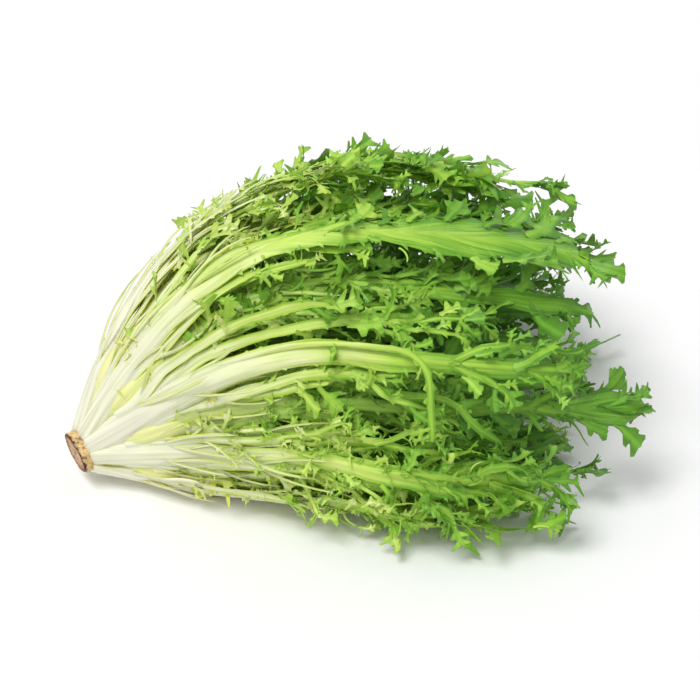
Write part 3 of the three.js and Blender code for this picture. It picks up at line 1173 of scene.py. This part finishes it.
def ramp(tree, factor, *stops):
    """A colour ramp with stops of (place, colour)."""
    node = tree.add("ShaderNodeValToRGB", factor)
    elements = node.color_ramp.elements
    for _ in range(len(stops) - 2):
        elements.new(0.5)
    for element, (place, colour) in zip(elements, stops):
        element.position, element.color = place, (*colour, 1.0)
    return node.outputs[0]


def mixed(tree, factor, first, second):
    """A mix of two colours."""
    node = tree.add("ShaderNodeMix", settings={"data_type": "RGBA"}, Factor=factor)
    tree.links.new(first, node.inputs[6])
    tree.links.new(second, node.inputs[7])
    return node.outputs[2]


def attribute_of(tree, name, output="Fac"):
    """A value that the mesh holds for each of its points."""
    return tree.add("ShaderNodeAttribute", settings={"attribute_name": name}).outputs[output]


def noise_of(tree, vector, scale, detail=2.0):
    """The value of a noise texture."""
    return tree.add("ShaderNodeTexNoise", Vector=vector, Scale=scale, Detail=detail).outputs["Fac"]


def leaf_material(settings):
    """Blanched stalks that turn green away from the stump, with veins and light through them."""
    material, tree = new_material("endive_leaf")
    distance, age = attribute_of(tree, "distance"), attribute_of(tree, "age")
    tone, rib = attribute_of(tree, "tone"), attribute_of(tree, "rib")
    spot = tree.add("ShaderNodeTexCoord").outputs["Object"]
    patches, fine = noise_of(tree, spot, 45.0), noise_of(tree, spot, 420.0)
    # Veins are noise that is drawn out along the ribs.
    grain = tree.vector_math("MULTIPLY", attribute_of(tree, "grain", "Vector"), (24.0, 480.0, 1.0))
    veins = noise_of(tree, grain, 1.0)

    # Greenness rises with the distance from the stump and with age; ribs stay pale for longer.
    far = tree.math("DIVIDE", distance, settings.green_distance)
    far = tree.math("MULTIPLY", far, tree.math("MULTIPLY_ADD", age, 0.06, 0.94))
    green = tree.math("ADD", far, tone)
    green = tree.math("ADD", green, tree.math("MULTIPLY_ADD", patches, 0.32, -0.16))
    old_rib = ramp(tree, green, (0.0, settings.stalk_colour), *LEAF_COLOURS["old_rib"])
    old_blade = ramp(tree, green, *LEAF_COLOURS["old_blade"], (1.0, settings.blade_colour))
    young_rib = ramp(tree, green, *LEAF_COLOURS["young_rib"])
    young_blade = ramp(tree, green, (0.0, settings.heart_colour), *LEAF_COLOURS["young_blade"])
    streaks = tree.math("MULTIPLY_ADD", veins, 2.2, -1.1)
    paleness = tree.math("ADD", tree.math("MULTIPLY", rib, 1.25), streaks)
    paleness = tree.add("ShaderNodeClamp", paleness).outputs[0]
    old = mixed(tree, paleness, old_blade, old_rib)
    young = mixed(tree, paleness, young_blade, young_rib)
    # Young leaves take the young colours. Their darker far greens are partly painted shade in the
    # gaps between the old leaves.
    colour = mixed(tree, tree.math("POWER", age, 1.5), young, old)
    light = tree.math("MULTIPLY_ADD", veins, 0.8, 0.6)
    colour = tree.add("ShaderNodeHueSaturation", Value=light, Color=colour).outputs[0]

    height = tree.math("ADD", veins, tree.math("MULTIPLY", fine, 0.4))
    bump = tree.add("ShaderNodeBump", Strength=0.7, Distance=0.6 * MM, Height=height).outputs[0]
    flesh = tree.add(
        "ShaderNodeBsdfPrincipled",
        Base_Color=colour,
        Roughness=tree.math("MULTIPLY_ADD", patches, 0.18, 0.32),
        Normal=bump,
        Specular_IOR_Level=0.22,
        Subsurface_Weight=0.2,
        Subsurface_Radius=(1.0, 1.0, 1.0),
        Subsurface_Scale=settings.glow_depth,
    )
    tree.add("ShaderNodeOutputMaterial", flesh.outputs[0])
    return material


# Stump


def stump_axis():
    """The stump's direction into the head, the centre of its cut face and its radius."""
    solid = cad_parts["stump"]
    corners = np.unique(np.round(corners_of(solid), 7), axis=0)
    normals = np.array([face.normal for face in solid.data.polygons])
    areas = np.array([face.area for face in solid.data.polygons])
    # The cut face is the largest flat face, so its normal has the most area behind it.
    directions, which = np.unique(np.round(normals, 2), axis=0, return_inverse=True)
    totals = np.bincount(which.ravel(), weights=areas)
    forward = -unit(directions[np.argmax(totals)])
    depth = corners @ forward
    centre = corners[depth < depth.min() + 0.1 * MM].mean(axis=0)
    off_axis = corners - centre
    off_axis -= np.outer(off_axis @ forward, forward)
    return forward, centre, np.linalg.norm(off_axis, axis=1).max()


def stump_profile():
    """The rings of the cut and of the side, as (share of the radius, depth)."""
    cut = [(share, 0.0) for share in np.linspace(0.02, 0.94, 12)]
    side = [(0.985, 0.35 * MM), (1.0, 1.2 * MM)]
    for depth in np.linspace(2.2 * MM, STUMP_LENGTH, 12):
        side.append((1 + 0.03 * math.sin(6 * depth / MM), depth))
    return cut, side


def make_stump(settings, material):
    """The cut stump: a rough short cylinder with a torn skin and a dished, ringed cut."""
    forward, face_centre, radius = stump_axis()
    upright = unit(np.cross(forward, [0.0, 1.0, 0.0]))
    across = np.cross(forward, upright)
    rng = np.random.default_rng([settings.seed, STUMP_SEED])
    angle = np.linspace(0, 2 * math.pi, STUMP_SIDES, endpoint=False)
    ragged = 0
    for wave in range(1, RIM_WAVES + 1):
        height = rng.normal(0, RIM_TEAR / wave**0.6)
        ragged = ragged + height * np.cos(wave * angle + rng.uniform(0, 6.28))
    cut, side = stump_profile()
    rings = []
    for index, (share, depth) in enumerate(cut + side):
        on_side = index >= len(cut)
        outward = radius * share * (1 + ragged * min(share, 1) ** 2)
        outward *= 1 + rng.normal(0, SIDE_ROUGHNESS if on_side else CUT_ROUGHNESS, STUMP_SIDES)
        dish = 0 if on_side else CUT_DISH * (1 - share**2)
        deep = depth + dish + rng.normal(0, 0.07 * MM, STUMP_SIDES)
        rings.append(
            face_centre
            + forward * deep[:, None]
            + upright * (outward * np.cos(angle))[:, None]
            + across * (outward * np.sin(angle))[:, None]
        )
    index = np.arange(len(rings) * STUMP_SIDES).reshape(len(rings), STUMP_SIDES)
    right = np.roll(index, -1, axis=1)
    quads = np.stack([index[:-1], right[:-1], right[1:], index[1:]], axis=-1)
    faces = quads.reshape(-1, 4).tolist()
    faces += [index[0][::-1].tolist(), index[-1].tolist()]
    mesh = bpy.data.meshes.new("stump_cut")
    mesh.from_pydata(np.concatenate(rings).tolist(), [], faces)
    mesh.polygons.foreach_set("use_smooth", [True] * len(mesh.polygons))
    # From 0 in the middle of the cut to 1 at its rim and 2 at the top of the side.
    across_cut = [share for share, _ in cut] + [1 + depth / STUMP_LENGTH for _, depth in side]
    store(mesh, "across_cut", "FLOAT", np.repeat(across_cut, STUMP_SIDES))
    mesh.materials.append(material)
    return shown_piece("stump_cut", mesh, "stump", "stump")


def stump_material(settings):
    """Browned cut flesh with a ring of vessels, and a torn tan skin."""
    material, tree = new_material("endive_stump")
    across = attribute_of(tree, "across_cut")
    spot = tree.add("ShaderNodeTexCoord").outputs["Object"]
    blotch = noise_of(tree, spot, 420.0, detail=3.0)
    pits = tree.add("ShaderNodeTexVoronoi", Vector=spot, Scale=900.0).outputs["Distance"]
    place = tree.math("ADD", across, tree.math("MULTIPLY_ADD", blotch, 0.24, -0.12))
    colour = ramp(
        tree,
        tree.math("MULTIPLY", place, 0.5),
        (0.0, settings.cut_colour),
        (0.3, srgb(214, 176, 142)),
        (0.43, srgb(178, 130, 86)),
        (0.485, srgb(70, 40, 18)),
        (0.52, srgb(110, 70, 36)),
        (0.57, settings.skin_colour),
        (0.84, srgb(226, 190, 132)),
        (0.96, srgb(96, 62, 30)),
    )
    dark = tree.math("MULTIPLY", tree.math("SUBTRACT", blotch, 0.36), tree.math("ADD", pits, 0.3))
    value = tree.math("MULTIPLY_ADD", dark, 6.0, 0.4)
    value = tree.add("ShaderNodeClamp", value, Min=0.4, Max=1.05).outputs[0]
    colour = tree.add("ShaderNodeHueSaturation", Value=value, Color=colour).outputs[0]
    height = tree.math("ADD", blotch, tree.math("MULTIPLY", pits, 0.6))
    bump = tree.add("ShaderNodeBump", Strength=0.9, Distance=0.6 * MM, Height=height).outputs[0]
    skin = tree.add("ShaderNodeBsdfPrincipled", Base_Color=colour, Roughness=0.85, Normal=bump)
    tree.add("ShaderNodeOutputMaterial", skin.outputs[0])
    return material


# Stage

FLOOR_SIZE = 12
FADE_START = 0.4  # the share of the floor's reach from which it fades


def floor_material(settings):
    """A pale floor that fades into the background."""
    material, tree = new_material("stage_floor")
    paint = tree.add("ShaderNodeBsdfDiffuse", (*settings.floor_colour, 1)).outputs[0]
    spot = tree.add("ShaderNodeTexCoord").outputs["Object"]
    reach = settings.floor_reach
    away = tree.vector_math("LENGTH", spot, output=1)
    smooth = {"interpolation_type": "SMOOTHSTEP"}
    fade = tree.add("ShaderNodeMapRange", away, reach * FADE_START, reach, settings=smooth)
    clear = tree.add("ShaderNodeBsdfTransparent").outputs[0]
    blend = tree.add("ShaderNodeMixShader", fade.outputs[0], paint, clear).outputs[0]
    tree.add("ShaderNodeOutputMaterial", blend)
    return material


def soft_world(settings):
    """Even light from all round, in front of a white background."""
    world = bpy.data.worlds.new("soft_room")
    world.use_nodes = True
    world.node_tree.nodes.clear()
    tree = Tree(world.node_tree)
    rays = tree.add("ShaderNodeLightPath").outputs
    seen = tree.math("MAXIMUM", rays["Is Camera Ray"], rays["Is Glossy Ray"])
    seen = tree.math("MAXIMUM", seen, rays["Is Transmission Ray"])
    level = tree.add("ShaderNodeMix", settings={"data_type": "FLOAT"}, Factor=seen)
    level.inputs[2].default_value = settings.room_level
    level.inputs[3].default_value = 1.0
    light = tree.add("ShaderNodeBackground", (1, 1, 1, 1), level.outputs[0])
    tree.add("ShaderNodeOutputWorld", light.outputs[0])
    return world


def make_stage(settings):
    """Floor, lights, world and camera."""
    scene = bpy.context.scene
    scene.view_settings.view_transform = "Standard"
    mesh = bpy.data.meshes.new("stage_floor")
    half = FLOOR_SIZE / 2
    corners = [(-half, -half, 0), (half, -half, 0), (half, half, 0), (-half, half, 0)]
    mesh.from_pydata(corners, [], [(0, 1, 2, 3)])
    mesh.materials.append(floor_material(settings))
    floor = bpy.data.objects.new("stage_floor", mesh)
    scene.collection.objects.link(floor)

    scene.world = soft_world(settings)

    sun = bpy.data.lights.new("key", "SUN")
    sun.energy, sun.angle = settings.key_level * math.pi, settings.key_angle
    sun_object = bpy.data.objects.new("key", sun)
    scene.collection.objects.link(sun_object)
    aim_at(sun_object, settings.key_place, (0, 0, 0))

    camera = bpy.data.cameras.new("camera")
    camera.lens = settings.lens
    camera_object = bpy.data.objects.new("camera", camera)
    scene.collection.objects.link(camera_object)
    target = np.array(settings.view_target)
    elevation = settings.view_elevation
    back = np.array([0, -math.cos(elevation), math.sin(elevation)])
    aim_at(camera_object, target + back * settings.view_distance, target)
    scene.camera = camera_object


def aim_at(thing, place, target):
    """Puts a lamp or camera at a place, pointing at a target."""
    thing.location = place
    direction = Vector(target) - Vector(place)
    thing.rotation_euler = direction.to_track_quat("-Z", "Y").to_euler()


# Add-on


def length_property(name, description, default):
    """A length setting in metres."""
    return FloatProperty(name=name, description=description, default=default, unit="LENGTH", min=0)


def colour_property(name, description, default):
    """A colour setting in linear light."""
    return FloatVectorProperty(
        name=name, description=description, default=default, subtype="COLOR", min=0, max=1
    )


class EndiveLeafSettings(bpy.types.PropertyGroup):
    """Sizes and colours that all leaves share"""

    stalk_width: length_property("Stalk width", "Width of an outer stalk at its foot", 14 * MM)
    stalk_thickness: length_property("Stalk thickness", "Thickness of a stalk at its foot", 4 * MM)
    rib_spacing: length_property("Rib spacing", "Distance between side ribs", 34 * MM)
    lobe_spacing: length_property("Lobe spacing", "Distance between lobes on a side rib", 13 * MM)
    lobe_length: length_property("Lobe length", "Length of a usual lobe", 13.5 * MM)
    glow_depth: length_property("Glow depth", "How far light travels in the flesh", 1 * MM)
    ruffle: length_property("Ruffle", "Height of the blade's broad waves", 3 * MM)
    ruffle_size: length_property("Ruffle size", "Length of the blade's broad waves", 22 * MM)
    crimp: length_property("Crimp", "Height of the blade's small waves", 0.7 * MM)
    crimp_size: length_property("Crimp size", "Length of the blade's small waves", 8 * MM)
    green_distance: length_property("Green distance", "Where the leaves are fully green", 275 * MM)
    stalk_colour: colour_property("Stalk colour", "Old ribs by the stump", srgb(238, 237, 214))
    blade_colour: colour_property("Blade colour", "Old blades at their end", srgb(82, 144, 40))
    heart_colour: colour_property("Heart colour", "Young blades by the stump", srgb(250, 236, 72))
    seed: IntProperty(name="Seed", description="Varies ribs and lobes", default=3)


class EndiveStumpSettings(bpy.types.PropertyGroup):
    """Colours and seed of the cut stump"""

    cut_colour: colour_property("Cut colour", "The middle of the cut", srgb(222, 188, 158))
    skin_colour: colour_property("Skin colour", "The skin near the cut", srgb(236, 204, 148))
    seed: IntProperty(name="Seed", description="Varies the torn rim", default=1)


class EndiveStageSettings(bpy.types.PropertyGroup):
    """Floor, light and camera"""

    floor_colour: colour_property("Floor colour", "Colour of the floor", (0.97, 0.97, 0.97))
    floor_reach: length_property("Floor reach", "Where the floor has faded into the background", 0.42)
    room_level: FloatProperty(name="Room level", description="Light from all round", default=0.58)
    key_level: FloatProperty(name="Key level", description="Light from the main lamp", default=0.56)
    key_angle: FloatProperty(
        name="Key angle", description="Width of the main lamp", subtype="ANGLE", default=0.5
    )
    key_place: FloatVectorProperty(
        name="Key place",
        description="Where the main lamp shines from",
        subtype="XYZ",
        default=(-0.35, -0.3, 1.0),
    )
    lens: FloatProperty(
        name="Lens", description="Focal length in millimetres", unit="CAMERA", default=108.8
    )
    view_elevation: FloatProperty(
        name="View elevation",
        description="How far above level the camera stands",
        subtype="ANGLE",
        default=math.radians(35),
    )
    view_distance: length_property("View distance", "From the camera to what it points at", 1.1)
    view_target: FloatVectorProperty(
        name="View target",
        description="What the camera points at",
        subtype="XYZ",
        unit="LENGTH",
        default=(-0.008, -0.0276, 0.0621),
    )


class ENDIVE_OT_stump(bpy.types.Operator):
    """Builds the cut stump"""

    bl_idname = "endive.stump"
    bl_label = "Stump"

    def execute(self, context):
        settings = context.scene.endive_stump
        make_stump(settings, stump_material(settings))
        return {"FINISHED"}


class ENDIVE_OT_whorl(bpy.types.Operator):
    """Builds one whorl of leaves"""

    bl_idname = "endive.whorl"
    bl_label = "Whorl of leaves"

    whorl: EnumProperty(
        name="Whorl",
        description="Which leaves to build",
        items=[(name, name.replace("_", " "), "The leaves of this name") for name in WHORLS],
    )

    def execute(self, context):
        kit = LeafKit(context.scene.endive_leaf)
        names = sorted(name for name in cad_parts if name.startswith(self.whorl))
        if not names:
            raise RuntimeError(f"the frame has no leaves named {self.whorl}")
        first_seed = SEEDS_OF_A_WHORL * list(WHORLS).index(self.whorl)
        for index, name in enumerate(names):
            make_leaf(name, WHORLS[self.whorl], kit, first_seed + index)
        return {"FINISHED"}


class ENDIVE_OT_stage(bpy.types.Operator):
    """Sets up the floor, the lights and the camera"""

    bl_idname = "endive.stage"
    bl_label = "Stage"

    def execute(self, context):
        make_stage(context.scene.endive_stage)
        return {"FINISHED"}


class ENDIVE_PT_panel(bpy.types.Panel):
    """Lists the pieces of the head"""

    bl_idname = "ENDIVE_PT_panel"
    bl_label = "Curly endive"
    bl_space_type = "VIEW_3D"
    bl_region_type = "UI"
    bl_category = "Endive"

    def draw(self, context):
        column = self.layout.column()
        column.operator("endive.stump")
        for whorl in WHORLS:
            column.operator("endive.whorl", text=whorl.replace("_", " ")).whorl = whorl
        column.operator("endive.stage")


CLASSES = (
    EndiveLeafSettings,
    EndiveStumpSettings,
    EndiveStageSettings,
    ENDIVE_OT_stump,
    ENDIVE_OT_whorl,
    ENDIVE_OT_stage,
    ENDIVE_PT_panel,
)

SETTINGS = {
    "endive_leaf": EndiveLeafSettings,
    "endive_stump": EndiveStumpSettings,
    "endive_stage": EndiveStageSettings,
}


def register():
    """Adds the classes, and the settings to the scene."""
    for each in CLASSES:
        bpy.utils.register_class(each)
    for name, group in SETTINGS.items():
        setattr(bpy.types.Scene, name, PointerProperty(type=group))


def unregister():
    """Takes away what register added."""
    for name in SETTINGS:
        delattr(bpy.types.Scene, name)
    for each in reversed(CLASSES):
        bpy.utils.unregister_class(each)


def main():
    """Builds the stage and the head."""
    register()
    bpy.ops.endive.stage()
    bpy.ops.endive.stump()
    for whorl in WHORLS:
        bpy.ops.endive.whorl(whorl=whorl)


if __name__ == "__main__":
    main()
